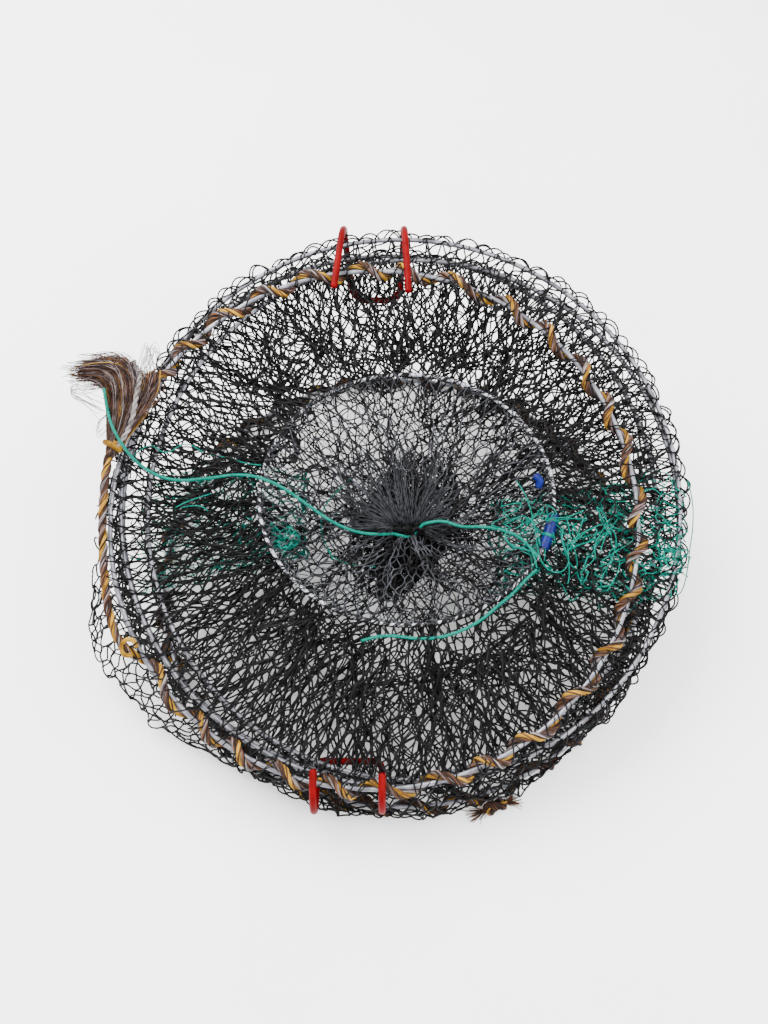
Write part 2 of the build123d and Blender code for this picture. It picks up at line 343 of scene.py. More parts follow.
for name, (length, far_end, route) in drawcords.items():
    line = evenly(line_points(name + "_line", [slope(*point) for point in route]), 0.002)
    plies = tubes(strands(line, 3, ply_out, cord_lay), ply_r, 6)
    cord = piece(name + "_cord", plies, green_cord, "bunch")
    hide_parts(name)


# ---- knotted netting ---------------------------------------------------------------------------------
def drift(angle, along, size, rng, waves=7):
    """Slow wandering of a slack net, the same way for neighbouring knots."""
    moved = np.zeros((*np.shape(angle), 3))
    for _ in range(waves):
        turns, ups, phase = rng.integers(2, 19), rng.uniform(0.5, 4), rng.uniform(0, 2 * pi)
        moved += rng.normal(size=3) * np.sin(turns * angle + ups * along * pi + phase)[..., None]
    return moved * size / waves ** 0.5


def weave(surface, rows, cols, rng, wander, jitter):
    """Knots of a diamond-mesh net laid on surface(angle, along), every other row half a mesh over.

    The knots wander together and jitter one by one, less towards the net's two edges.
    """
    row, col = np.mgrid[0:rows, 0:cols]
    angle = (col + 0.5 * (row % 2)) / cols * (2 * pi)
    along = row / (rows - 1)
    knots = surface(angle, along)
    free = np.sin(pi * along)[..., None] ** 0.5
    return knots + free * (drift(angle, along, wander, rng) + rng.normal(size=knots.shape) * jitter)


def bars(knots, rng, bow, closed=True):
    """Each knot's two twines down to the next row: they leave the knot side by side and bow apart.

    A closed net's rows run all the way round.
    """
    heading = unit(np.gradient(knots, axis=0))
    heading = unit(heading + rng.normal(size=heading.shape) * 0.16)
    found = []
    for r in range(len(knots) - 1):
        shift = -1 if r % 2 else 1
        for across_by in (0, shift):
            a, da = knots[r], heading[r]
            b, db = np.roll(knots[r + 1], across_by, 0), np.roll(heading[r + 1], across_by, 0)
            if not closed and across_by:
                a, da, b, db = (x[:-1] if shift < 0 else x[1:] for x in (a, da, b, db))
            found.append(np.stack((a, da, b, db), 1))
    a, da, b, db = np.moveaxis(np.concatenate(found), 1, 0)
    return bowed(a, da, b, db, rng, bow, 1.1)


def bowed(a, da, b, db, rng, bow, grip):
    """Smooth twines from a to b that set out along da and arrive along db, each slack in its own way."""
    t = np.linspace(0, 1, 5)[None, :, None]
    reach = np.linalg.norm(b - a, axis=1)[:, None, None]
    a, da, b, db = (x[:, None] for x in (a, da, b, db))
    line = (2 * t ** 3 - 3 * t ** 2 + 1) * a + (3 * t ** 2 - 2 * t ** 3) * b
    line = line + reach * grip * ((t ** 3 - 2 * t ** 2 + t) * da + (t ** 3 - t ** 2) * db)
    return line + reach * bow * np.sin(pi * t) * rng.normal(size=(len(a), 1, 3))


def netting(name, knots, radius, material, body, rng, bow=0.07):
    """A net's twines and the knots between its two edges."""
    lines = bars(knots, rng, bow)
    shape = together(tubes(lines, radius), lumps(knots[1:-1], radius * knot_size, rng))
    return piece(name, shape, material, body)


twine_r = 0.00118
fine_r = 0.00068
lashing_r = 0.0008
lashing_off = 0.00049       # of a lashing's centre line from the wire's surface
knot_size = 1.6             # of a knot's radius to its twine's


def top_surface(angle, along):
    """From the closure ring out to the top hoop, hanging a little between them."""
    inner, outer = closure_ring.at(angle, 0.003), top_hoop.at(angle, 0.002)
    hang = 0.011 * np.sin(pi * along)[..., None]
    return inner + (outer - inner) * along[..., None] - hang * off_slope


def tucked_surface(upper, lower, depth, drop):
    """Netting between two bunched hoops, folded in under the top net."""
    def surface(angle, along):
        uneven = 0.2 * depth * np.sin(3 * angle + 1) * np.sin(5 * angle)
        fold_in = np.sin(pi * along) ** 0.8 * (depth + uneven)
        start, end = upper.at(angle), lower.at(angle)
        here = start + (end - start) * along[..., None]
        u, v = (here - slope_origin) @ across - lower.u, (here - slope_origin) @ up_slope - lower.v
        inward = -(u[..., None] * across + v[..., None] * up_slope) / lower.a
        return here + fold_in[..., None] * inward - drop * np.sin(pi * along)[..., None] * off_slope
    return surface


def shoulder_surface(angle, along):
    """From the top hoop out to the outer hoop."""
    over, edge = top_hoop.at(angle, 0.004, -0.004), outer_hoop.at(angle, 0.002, 0.003)
    return over + (edge - over) * along[..., None]


def scallops(loop, count, out, lift, rng):
    """Rounded loops of slack twine that stand outside a hoop's wire."""
    t = np.linspace(0, 1, 8)
    start = (np.arange(count) + rng.normal(size=count) * 0.18) * 2 * pi / count
    width = rng.uniform(0.9, 1.45, (count, 1)) * 2 * pi / count
    stand = out * np.abs(rng.normal(1, 0.3, (count, 1)))
    angle = start[:, None] + width * t
    sag = 0.002 * rng.normal(size=(count, 1))
    return loop.at(angle, 0.001 + stand * np.sin(pi * t) ** 0.8, lift * np.cos(pi * t) - sag)


def lashings(loop, count, wire, rng, slant=0.0045):
    """Turns of twine round a hoop's wire, where each mesh is tied on."""
    t = np.linspace(0, 2 * pi, 8)
    middle_angle = (np.arange(count) + rng.normal(size=count) * 0.2) * 2 * pi / count
    slant = rng.normal(slant, 0.7 * slant, (count, 1)) / loop.a
    angle = middle_angle[:, None] + slant * (t / pi - 1)
    out = wire + lashing_off
    return loop.at(angle, out * np.cos(t), out * np.sin(t))


def fold_up(obj):
    """Gives a piece that hangs below the bunch its own copy of its mesh."""
    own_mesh(obj)


rng = np.random.default_rng(11)
top_net = netting("top_netting", weave(top_surface, 10, 106, rng, 0.013, 0.0017), twine_r, black_twine,
                  "bunch", rng)
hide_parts("top_net")

rng = np.random.default_rng(12)
shoulder_net = netting("shoulder_netting", weave(shoulder_surface, 4, 92, rng, 0.004, 0.002), twine_r,
                       black_twine, "bunch", rng)
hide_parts("shoulder_net")

hoop_edges = {"outer": (outer_hoop, 0.0095), "second": (second_hoop, 0.005), "third": (third_hoop, 0.006)}
for name, (loop, out) in hoop_edges.items():
    loops = np.concatenate([scallops(loop, 88, out, lift, rng) for lift in (0.004, -0.003)])
    tied = lashings(loop, 110, wire_r, rng)
    piece(f"{name}_hoop_loops", together(tubes(loops, twine_r), tubes(tied, lashing_r)), black_twine,
          "bunch")
tied = tubes(lashings(top_hoop, 90, wire_r, rng), lashing_r)
over_rope = tubes(lashings(top_hoop, 100, wire_r + rope_d, rng, slant=0.013), 0.0011)
piece("top_hoop_lashings", together(tied, over_rope), black_twine, "bunch")

tucks = ((outer_hoop, second_hoop, 0.125, 0.012), (second_hoop, third_hoop, 0.150, 0.030))
for k, (upper, lower, depth, drop) in enumerate(tucks):
    rng = np.random.default_rng(20 + k)
    knots = weave(tucked_surface(upper, lower, depth, drop), 16, 98, rng, 0.020, 0.0024)
    tucked = netting(f"tucked_netting_{k + 1}", knots, twine_r, black_twine, "bunch", rng, 0.09)
    fold_up(tucked)


# ---- side netting: one strip for each sector ---------------------------------------------------------
def outward(angle):
    """Level directions away from the trap's middle."""
    return np.cos(angle)[..., None] * across + np.sin(angle)[..., None] * np.array((0, 1, 0))


def bulge(angle):
    """How far the slack netting stands out past the hoops, most at the left."""
    left = np.exp(-((np.mod(angle, 2 * pi) - radians(190)) / radians(34)) ** 2)
    return 0.010 + 0.056 * left


def side_surface(angle, along):
    """From the bottom hoop up to the lowest hoop of the bunch, slack between them."""
    low = floor_hoop + (hoop_r + 0.006) * outward(angle)
    high = third_hoop.at(angle, 0.001, -0.004)
    here = low + (high - low) * along[..., None]
    return here + outward(angle) * (bulge(angle) * np.sin(pi * along ** 0.8))[..., None]


entrance_y, entrance_z = 0.022, 0.072           # its middle, from the bottom hoop's and above the floor
entrance_half_w, entrance_half_h = 0.078, 0.042


def in_entrance(points):
    """Whether a point of the side netting lies over one of the two entrances, left and right."""
    y, z = points[:, 1] - floor_hoop[1] - entrance_y, points[:, 2] - entrance_z
    in_outline = (y / entrance_half_w) ** 2 + (z / entrance_half_h) ** 2 < 1
    at_a_side = np.abs(points[:, 0] - floor_hoop[0]) > 0.2
    return in_outline & at_a_side


sectors = 28
rng = np.random.default_rng(31)
side_knots = weave(side_surface, 13, 106, rng, 0.010, 0.0016)
side_lines = bars(side_knots, rng, 0.10)
side_lines = side_lines[~in_entrance(side_lines.mean(1))]
side_tied = side_knots[1:-1].reshape(-1, 3)
side_tied = side_tied[~in_entrance(side_tied)]


def sector_of(points):
    """Which of the side netting's strips each point belongs to."""
    around = np.arctan2(points[:, 1] - floor_hoop[1], points[:, 0] - floor_hoop[0])
    return (np.mod(around, 2 * pi) / (2 * pi) * sectors).astype(int)


line_sector, knot_sector = sector_of(side_lines.mean(1)), sector_of(side_tied)
for k in range(sectors):
    shape = together(tubes(side_lines[line_sector == k], twine_r),
                     lumps(side_tied[knot_sector == k], twine_r * knot_size, rng))
    strip = piece(f"side_netting_{k + 1}", shape, black_twine)
    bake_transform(strip)
    if k == 0:
        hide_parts("side_net")


# ---- bottom net: square meshes stretched over the floor hoop -----------------------------------------
rng = np.random.default_rng(41)
mesh_bar = 0.0150
reach = int(hoop_r / mesh_bar) + 1
i, j = np.mgrid[-reach:reach + 1, -reach:reach + 1]
turned = radians(38)
x = (i * cos(turned) - j * sin(turned)) * mesh_bar
y = (i * sin(turned) + j * cos(turned)) * mesh_bar
wandered = drift(x * 9, y * 9, 0.004, rng, 9)
x, y = x + wandered[..., 0], y + wandered[..., 1]
grid = np.stack((x, y), -1) + rng.normal(size=(*x.shape, 2)) * 0.0009
ends = np.concatenate((np.stack((grid[:-1], grid[1:]), 2).reshape(-1, 2, 2),
                       np.stack((grid[:, :-1], grid[:, 1:]), 2).reshape(-1, 2, 2)))
ends = ends[np.linalg.norm(ends, axis=2).min(1) < hoop_r]

# the twines that pass the hoop are tied to it
ends = ends * np.minimum(1, hoop_r / np.linalg.norm(ends, axis=2, keepdims=True))
flat_z = middle("bottom_net")[2]
ends = np.concatenate((ends, np.full((*ends.shape[:2], 1), flat_z)), -1) + (floor_hoop[0], floor_hoop[1], 0)
a, b = ends[:, 0], ends[:, 1]
bottom_lines = bowed(a, unit(b - a), b, unit(b - a), rng, 0.09, 1.0)
bottom_lines[:, :, 2] = np.maximum(bottom_lines[:, :, 2], twine_r)
tied = grid[np.linalg.norm(grid, axis=2) < hoop_r - 0.006]
tied = np.concatenate((tied, np.full((len(tied), 1), flat_z)), -1) + (floor_hoop[0], floor_hoop[1], 0)
shape = together(tubes(bottom_lines, twine_r), lumps(tied, twine_r * knot_size, rng))
bottom_net = piece("bottom_netting", shape, black_twine, "trap_base")
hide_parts("bottom_net")


# ---- gathered skirt inside the closure ring, and its tail below the gather ---------------------------
slot_half = 0.017           # half the width of the slot that the gathered skirt dives into


def skirt_surface(angle, along):
    """From the closure ring in to the gather, in hanging pleats."""
    rim = closure_ring.at(angle, -0.002)
    neck = slope(gather_u + slot_half * np.cos(angle), gather_v + 0.006 * np.sin(angle),
                 np.full(np.shape(angle), gather_w - 0.001))
    pleat = 0.006 * np.sin(9 * angle + 2 * np.sin(angle)) * along
    hang = (0.010 + pleat) * np.sin(pi * along) ** 1.2
    return rim + (neck - rim) * (along ** 0.85)[..., None] - hang[..., None] * off_slope


def tail_surface(angle, along):
    """The skirt's free edge, splayed out under the gather."""
    out = 0.009 + (0.062 + 0.016 * np.sin(2 * angle + 0.2)) * along ** 0.8
    drop = 0.006 + 0.034 * np.sin(pi * along / 2)
    return slope(gather_u - 0.004 + out * np.cos(angle) * 0.85,
                 gather_v + 0.012 * along + out * np.sin(angle) * 1.2, gather_w - drop)


rng = np.random.default_rng(51)
skirt = netting("closure_netting", weave(skirt_surface, 13, 72, rng, 0.005, 0.0018), fine_r, grey_twine,
                "bunch", rng)
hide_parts("closure_net")
for k, drop in enumerate((0.009, 0.021)):
    under = weave(skirt_surface, 12, 66, rng, 0.012, 0.004) - drop * off_slope
    inner_net = netting(f"closure_inner_netting_{k + 1}", under, 0.0009, black_twine, "bunch",
                        rng, 0.12)
    fold_up(inner_net)
layers = [weave(tail_surface, 9, 84, rng, 0.008, 0.003) - lower * off_slope for lower in (0, 0.008, 0.016)]
tail = piece("closure_tail_netting", together(*(tubes(bars(knots, rng, 0.1), fine_r) for knots in layers)),
             black_twine, "bunch")
fold_up(tail)

# the pleats' folds rise over the gather from the far, left and right sides and dive into its slot. Their twine
# is the closure net's grey twine made darker: painted shade in the folds
rng = np.random.default_rng(53)
pleats = 150
t = np.linspace(0, 1, 9)
start = -0.35 + (np.arange(pleats)[:, None] + rng.normal(size=(pleats, 1)) * 0.7) / pleats * 3.95
around = start + 0.13 * np.sin(9 * start + 1) * (1 - t) + rng.normal(size=(pleats, 1)) * 0.2 * np.sin(pi * t)
reach = 0.026 + 0.064 * np.maximum(0, np.sin(around[:, :1] - 0.3)) + rng.normal(size=(pleats, 1)) * 0.012
out = np.abs(reach) * (1 - t) ** 1.1
rise = 0.004 * t + (0.006 + 0.002 * rng.normal(size=(pleats, 1))) * np.sin(pi * t ** 1.3) - 0.004 * t ** 4
rise = rise + 0.008 * np.maximum(0, -np.cos(around)) * np.sin(pi * t ** 1.5)
pleat_lines = slope(gather_u + (out + slot_half) * np.cos(around), gather_v + (out + 0.003) * np.sin(around),
                    gather_w - 0.001 + rise)
piece("gather_pleats", tubes(pleat_lines, 0.00048), fold_shade_twine, "bunch")

# dark folds fill the slot, over the drawcord's ends
folds = 220
place = rng.uniform(-1, 1, (folds, 1))
core_u = gather_u + 0.021 * place + 0.004 * rng.normal(size=(folds, 1)) * t
core_v = gather_v - 0.002 + 0.008 * rng.uniform(-1, 1, (folds, 1)) * np.sqrt(1.1 - place ** 2) * (1 - 1.6 * t)
core_w = gather_w - 0.001 + 0.011 * np.sin(pi * t) * rng.uniform(0.3, 1, (folds, 1))
piece("gather_core", tubes(slope(core_u, core_v, core_w), 0.0009), black_twine, "bunch")

# the ring's wire is lashed to the nets: a tie at each mesh, and more turns at the far left and near sides
rng = np.random.default_rng(52)
wrap = ring_wire_r + fine_r
closeness = np.array((0.08, 0.1, 0.25, 0.7, 1.0, 0.8, 0.12, 0.1, 0.6, 1.0, 0.8, 0.25))     # round the ring
places = rng.uniform(0, 2 * pi, 620)
kept = rng.uniform(size=len(places)) < closeness[(places / (2 * pi) * len(closeness)).astype(int)]
meshes = 72
tie_at = (np.arange(meshes)[:, None] + rng.normal(0, 0.15, (meshes, 1))) / meshes * 2 * pi
ties = tie_at + rng.normal(0, 0.007, (meshes, 4))
places = np.concatenate((places[kept], ties.ravel()))[:, None]
t = np.linspace(0, 2 * pi, 8)
slant = rng.normal(0.006, 0.004, places.shape) / closure_ring.a
turns = closure_ring.at(places + slant * (t / pi - 1), wrap * np.cos(t), wrap * np.sin(t))
edge_loops = np.concatenate([scallops(closure_ring, 84, -0.006, lift, rng) for lift in (-0.004, -0.006)])
piece("closure_ring_lashing", tubes(turns, lashing_r), black_twine, "bunch")
piece("closure_ring_loops", tubes(edge_loops, fine_r), grey_twine, "bunch")


# ---- threads and cords on listed routes --------------------------------------------------------------
def threads(name, routes, radius, material, sides=5):
    """Smooth threads on the bunch, each along a listed route."""
    shapes = []
    for k, route in enumerate(routes):
        line = line_points(f"{name}_{k}", on_slope(route))
        shapes.append(tubes(line[None], radius, sides))
    piece(name, together(*shapes), material, "bunch")


gather_turns = line_points("gather_cord", on_slope((
    (-8, -30, -19), (-2, -31, -23), (9, -32, -30), (17, -28, -32), (18, -20, -32), (11, -14, -32),
    (2, -15, -32), (0, -23, -32), (5, -31, -32), (15, -30, -30), (21, -24, -23), (26, -19, -18))))
gather_plies = strands(evenly(gather_turns, 0.0015), 3, 0.0008, cord_lay)
gather_cord = piece("gather_cord", tubes(gather_plies, 0.0012, 5), green_cord, "bunch")
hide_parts("drawcord_knot")

threads("cord_loop", [
    ((119, -30, 3), (117, -37, 5), (121, -46, 6), (131, -51, 7), (143, -54, 8), (153, -58, 9)),
    ((140, -44, 10), (146, -53, 11), (150, -64, 10), (152, -74, 8)),
], 0.0011, green_cord)

round_sleeve = 0.0071       # of the binding thread's turns, out from the ring's wire
t = np.linspace(0, 8 * pi, 60)
turns = [closure_ring.at(radians(place) + 0.0009 * t, round_sleeve * np.cos(t), round_sleeve * np.sin(t))
         for place in (-11.5, -18.5)]
binding = piece("sleeve_thread_turns", tubes(np.stack(turns), 0.0006, 4), green_cord, "bunch")
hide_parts("sleeve_binding")
threads("blue_tab", [((157, 21, 0), (160, 25, 3), (158, 30, 4), (154, 33, 2))], 0.0042, blue_plastic,
        12)


# ---- green funnels: a sock of fine netting at each entrance, and its slack edge up among the hoops ----
def outline(node, inset):
    """A node's outline as seen from the trap's side: middle y, middle z, half width and half height."""
    low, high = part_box(node)
    half_w, half_h = (high.y - low.y) / 2 - inset, (high.z - low.z) / 2 - inset
    return (low.y + high.y) / 2, (low.z + high.z) / 2, half_w, half_h


def funnel_surface(side, net_node, ring_node):
    """From the side netting in to the narrow mouth, round the outline of each."""
    wall, mouth = outline(net_node, 0), outline(ring_node, 0.002)
    wall_x = floor_hoop[0] + side * 0.312
    low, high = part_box(ring_node)
    mouth_x = (low.x + high.x) / 2

    def surface(angle, along):
        y, z, half_w, half_h = (a + (b - a) * along ** 0.8 for a, b in zip(wall, mouth))
        square = (np.abs(np.cos(angle)) ** 3 + np.abs(np.sin(angle)) ** 3) ** (-1 / 3)
        return np.stack((wall_x + (mouth_x - wall_x) * along, y + half_w * square * np.cos(angle),
                         z + half_h * square * np.sin(angle)), -1)
    return surface


def fold_flat(obj):
    """Gives a piece that lies inside the trap its own copy of its mesh."""
    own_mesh(obj)


def mouth_cord(name, surface, rng):
    """The slack cord loop round a funnel's narrow end."""
    angle = np.linspace(0, 2 * pi, 90)
    line = surface(angle, np.ones_like(angle)) + drift(angle, 0 * angle, 0.006, rng, 5)
    cord = piece(f"{name}_mouth_cord", tubes(strands(line, 2, 0.0009, 0.009), 0.001, 5), green_cord,
                 "trap_base")
    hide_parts(f"{name}_mouth_ring")
    fold_flat(cord)
    return line


mouth_lines = {}
for name, side in (("right", 1), ("left", -1)):
    rng = np.random.default_rng(70 + side)
    surface = funnel_surface(side, f"{name}_funnel_net", f"{name}_mouth_ring")
    knots = weave(surface, 12, 22, rng, 0.011, 0.004)
    sock = netting(f"{name}_funnel_netting", knots, fine_r * 0.85, green_twine, "trap_base", rng,
                   0.14)
    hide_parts(f"{name}_funnel_net")
    fold_flat(sock)
    mouth_lines[name] = mouth_cord(name, surface, rng)

ends = [line[np.argmax(line[:, 2])] for line in (mouth_lines["left"], mouth_lines["right"])]
tie_line = np.linspace(ends[0], ends[1], 60)
tie_line[:, 2] -= 0.006 * np.sin(np.linspace(0, pi, 60))
tie = piece("funnel_tie", tubes(strands(tie_line, 2, 0.0006, 0.008), 0.0008, 5), green_cord,
            "trap_base")
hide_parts("funnel_tie_cord")
fold_flat(tie)


def slack_patch(name, u_from, u_to, v_middle, v_half, w_top, rows, cols, rng, wander, jitter, bow):
    """A crumpled patch of the funnel's green net, caught up among the bunched hoops."""
    def surface(angle, along):
        pinch = 1 - 0.25 * np.sin(2.2 * pi * along + 0.6)
        crumple = 0.005 * np.sin(3 * angle + 11 * along) - 0.004 * np.cos(7 * angle - 5 * along)
        u = u_from + (u_to - u_from) * along
        return slope(u, v_middle + v_half * pinch * (angle / pi - 1), w_top + crumple)
    knots = weave(surface, rows, cols, rng, wander, jitter)
    lines = bars(knots, rng, bow, closed=False)
    shape = together(tubes(lines, fine_r * 0.9), lumps(knots, fine_r * 1.7, rng))
    return piece(name, shape, green_twine, "bunch")


def strays(count, u, v, w, spread, length, rng):
    """Long slack threads that wander and loop about a place."""
    t = np.linspace(0, 1, 40)
    found = []
    for _ in range(count):
        start = np.array((u, v, w)) + rng.normal(size=3) * spread
        path = start[:, None] + np.zeros((3, len(t)))
        for turns in (0.5, 1.1, 1.9, 2.7):
            swing = rng.normal(size=3) * np.array((1, 1, 0.16)) * length / (1 + turns)
            path += swing[:, None] * np.sin(2 * pi * turns * t + rng.uniform(0, 2 * pi))
        found.append(path)
    u, v, w = np.moveaxis(np.array(found), 1, 0)
    return slope(u, v, w)


rng = np.random.default_rng(75)
slack_patch("right_slack_netting", 0.118, 0.322, -0.036, 0.058, -0.017, 16, 9, rng, 0.009, 0.003, 0.22)
slack_patch("right_slack_edge", 0.240, 0.327, -0.030, 0.066, -0.010, 9, 10, rng, 0.007, 0.003, 0.24)
left_slack = slack_patch("left_slack_netting", -0.316, -0.120, -0.006, 0.062, -0.042, 12, 7, rng, 0.010,
                         0.004, 0.16)
fold_up(left_slack)
slack_patch("left_slack_tuft", -0.148, -0.118, -0.037, 0.013, -0.012, 7, 7, rng, 0.004, 0.003, 0.3)
stray = np.concatenate((strays(7, 0.205, -0.040, 0.003, (0.022, 0.018, 0.002), 0.020, rng),
                        strays(6, 0.238, -0.066, 0.000, (0.014, 0.014, 0.002), 0.016, rng),
                        strays(6, 0.292, -0.055, -0.003, (0.010, 0.028, 0.002), 0.012, rng),
                        strays(5, 0.150, -0.020, 0.000, (0.020, 0.022, 0.002), 0.018, rng)))
piece("right_stray_threads", tubes(stray, 0.00055, 4), green_twine, "bunch")

threads("entrance_threads", [
    ((187, -17, 9), (190, -31, 9), (192, -48, 7), (198, -42, 6), (207, -17, 4)),
    ((183, -28, 10), (180, -43, 10), (186, -56, 9), (189, -65, 8), (184, -77, 6), (172, -80, 5),
     (159, -71, 6), (154, -55, 6), (152, -31, 4), (149, -10, 2), (142, 15, 0), (133, 29, -4)),
    ((187, -56, 8), (196, -43, 7), (213, -29, 5), (224, -28, 4), (216, -43, 5), (198, -48, 6), (190, -53, 7)),
    ((224, -56, 4), (232, -33, 5), (239, -27, 4), (245, -42, 3), (237, -65, 4), (226, -82, 4), (223, -93, 3),
     (229, -96, 2), (239, -90, 1)),
    ((331, 30, -8), (336, 9, -7), (334, -27, -8), (329, -50, -9), (326, -73, -10), (320, -96, -12),
     (312, -104, -12), (310, -92, -11), (316, -84, -10)),
    ((-308, 57, 0), (-291, 75, 2), (-270, 57, 1), (-248, 75, 2), (-224, 59, 1), (-196, 55, 0), (-175, 47, 1),
     (-160, 46, 2)),
    ((-257, -3, -2), (-244, 5, 0), (-217, 13, -1)),
    ((-251, -3, -3), (-227, 3, -1), (-220, -7, -2)),
    ((-57, 38, -30), (-80, 18, -30), (-93, -3, -32), (-93, -31, -33), (-81, -55, -34), (-54, -66, -34),
     (-29, -66, -34)),
    ((-92, -8, -28), (-92, -30, -28), (-83, -46, -30), (-75, -66, -31), (-88, -36, -30)),
], 0.0007, green_cord)


# ---- rope wound on the top and bottom hoops ----------------------------------------------------------
strand_out, yarn_out, yarn_r = 0.0028, 0.0016, 0.00115     # of a rope's strands, and of the yarns in a strand
wound_out = 0.0049                                         # of a wound rope's middle, from the wire's surface
yarn_mixes = {
    "bright": ((yellow_yarn, yellow_yarn, brown_yarn, yellow_yarn, yellow_yarn, brown_yarn),
               (brown_yarn, dark_yarn, brown_yarn, dark_yarn, brown_yarn, lilac_yarn),
               (lilac_yarn, white_yarn, dark_yarn, brown_yarn, lilac_yarn, dark_yarn)),
    "dark": ((brown_yarn, dark_yarn, brown_yarn, dark_yarn, brown_yarn, dark_yarn),
             (dark_yarn, dark_yarn, brown_yarn, dark_yarn, brown_yarn, dark_yarn),
             (lilac_yarn, dark_yarn, dark_yarn, brown_yarn, yellow_yarn, dark_yarn)),
}


def laid_rope(name, line, body, mixes, lay=0.046, step=0.003, sides=4):
    """A three-strand rope of coloured yarns along a line of points, one piece for each colour."""
    by_material = {}
    for strand, mix in zip(strands(evenly(line, step), 3, strand_out, lay), mixes):
        for path, material in zip(strands(evenly(strand, step), len(mix), yarn_out, lay * 0.9), mix):
            by_material.setdefault(material, []).append(tubes(path[None], yarn_r, sides))
    return [piece(f"{name}_{material.name}", together(*shapes), material, body)
            for material, shapes in by_material.items()]


def winding(loop_at, start, stop, pitch, rng):
    """A rope's line wound round a hoop, uneven as a hand winds it."""
    angle = np.linspace(start, stop, int((stop - start) * hoop_r / 0.0026))
    turn = -angle * hoop_r * 2 * pi / pitch
    for waves in (3, 7, 12):
        turn = turn + 0.5 * np.sin(waves * angle + rng.uniform(0, 2 * pi))
    centre_r = wire_r + wound_out
    return loop_at(angle, centre_r * np.cos(turn), centre_r * np.sin(turn))


rng = np.random.default_rng(61)
wound = winding(top_hoop.at, radians(211), radians(506), 0.058, rng)
loose = line_points("loose_rope", [wound[0]] + on_slope((
    (-297, -170, 6), (-313, -156, 8), (-325, -125, 7), (-332, -85, 6), (-336, -45, 6), (-338, -5, 7),
    (-336, 30, 10), (-332, 58, 13), (-328, 78, 15))))
into_tassel = line_points("rope_into_tassel", [wound[-1]] + on_slope((
    (-283, 134, 12), (-293, 118, 14), (-305, 100, 15), (-316, 84, 14))))
top_line = np.concatenate((loose[::-1], wound, into_tassel[1:]))
top_rope = laid_rope("top_rope", top_line, "bunch", yarn_mixes["bright"])
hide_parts("top_rope")


def floor_loop(angle, reach, lift):
    """Points about the bottom hoop's wire."""
    return floor_hoop + outward(angle) * (hoop_r + reach)[:, None] + lift[:, None] * up


bottom_wound = winding(floor_loop, radians(-66), radians(290), 0.050, rng)
rope_reach = strand_out + yarn_out + yarn_r
bottom_wound[:, 2] = np.maximum(bottom_wound[:, 2], rope_reach)
bottom_rope = laid_rope("bottom_rope", bottom_wound, "trap_base", yarn_mixes["dark"], step=0.0045, sides=3)
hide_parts("bottom_rope")


# ---- frayed rope ends --------------------------------------------------------------------------------
def fibres(guides, count, spread, radius, rng, points=16, shortest=0.8):
    """Loose fibres laid between guide routes, fanning out and waving more towards their free ends."""
    t = np.linspace(0, 1, points)
    lines = []
    for guide in guides:
        line = evenly(line_points("guide", on_slope(guide)), 0.001)
        lines.append([[np.interp(s, np.linspace(0, 1, len(line)), line[:, k]) for k in range(3)] for s in t])
    lines = np.array(lines)
    between = rng.uniform(0, len(lines) - 1, count)
    low = np.minimum(between.astype(int), len(lines) - 2) if len(lines) > 1 else np.zeros(count, int)
    high = np.minimum(low + 1, len(lines) - 1)
    share = (between - low)[:, None, None]
    paths = lines[low] * (1 - share) + lines[high] * share
    offset = rng.normal(size=(count, 1, 3)) * spread
    swing = rng.normal(size=(count, 1, 3)) * 0.0034
    half_waves, phase = rng.uniform(1, 4, (count, 1, 1)), rng.uniform(0, 2, (count, 1, 1))
    wave = swing * np.sin(pi * (t[:, None] * half_waves + phase))
    paths = paths + offset * (0.45 + 0.75 * t[:, None]) + wave * t[:, None]
    cut_at = rng.uniform(shortest, 1.0, count)[:, None] * t
    index = np.clip((cut_at * (points - 1)).astype(int), 0, points - 2)
    part = (cut_at * (points - 1) - index)[..., None]
    row = np.arange(count)[:, None]
    paths = paths[row, index] * (1 - part) + paths[row, index + 1] * part
    return tubes(paths, radius, 3)


rng = np.random.default_rng(81)
t = np.linspace(0, 1.7 * pi, 40)
curl = slope(-0.300 + 0.008 * np.cos(t), -0.163 + 0.009 * np.sin(t), 0.008 + 0.001 * t)
piece("rope_curl", tubes(strands(curl, 5, 0.0017, 0.03), 0.001, 4), yellow_yarn, "bunch")
inner = ((-329, 56, 14), (-331, 74, 15), (-331, 96, 17), (-331, 117, 19), (-333, 132, 21), (-342, 141, 21),
         (-356, 145, 19), (-384, 150, 15))
centre = ((-328, 56, 15), (-324, 76, 18), (-319, 100, 24), (-316, 124, 27), (-319, 145, 28), (-332, 157, 26),
          (-350, 159, 22), (-379, 156, 17))
outer = ((-327, 58, 15), (-318, 78, 18), (-306, 100, 22), (-299, 122, 24), (-301, 145, 25), (-312, 163, 24),
         (-332, 168, 22), (-362, 164, 18))
side_bundle = ((-322, 66, 13), (-312, 84, 15), (-300, 104, 18), (-291, 124, 20), (-287, 140, 18),
               (-290, 156, 15))
fibre_r = 0.00036
brush_counts = {brown_yarn: 330, lilac_yarn: 300, dark_yarn: 190, yellow_yarn: 34, white_yarn: 40}
side_counts = {brown_yarn: 130, lilac_yarn: 90, dark_yarn: 60, yellow_yarn: 14}
tassel = {}
for material, count in brush_counts.items():
    spread = (0.0042, 0.0042, 0.0035)
    tassel[material] = [fibres((inner, centre, outer), count, spread, fibre_r, rng, shortest=0.66)]
for material, count in side_counts.items():
    tassel[material].append(fibres((side_bundle,), count, (0.004, 0.003, 0.003), fibre_r, rng))
stub = ((-333, 112, 20), (-334, 124, 21), (-336, 132, 21), (-335, 140, 20))
tassel[yellow_yarn].append(fibres((stub,), 45, (0.0016, 0.0014, 0.0014), 0.0004, rng))
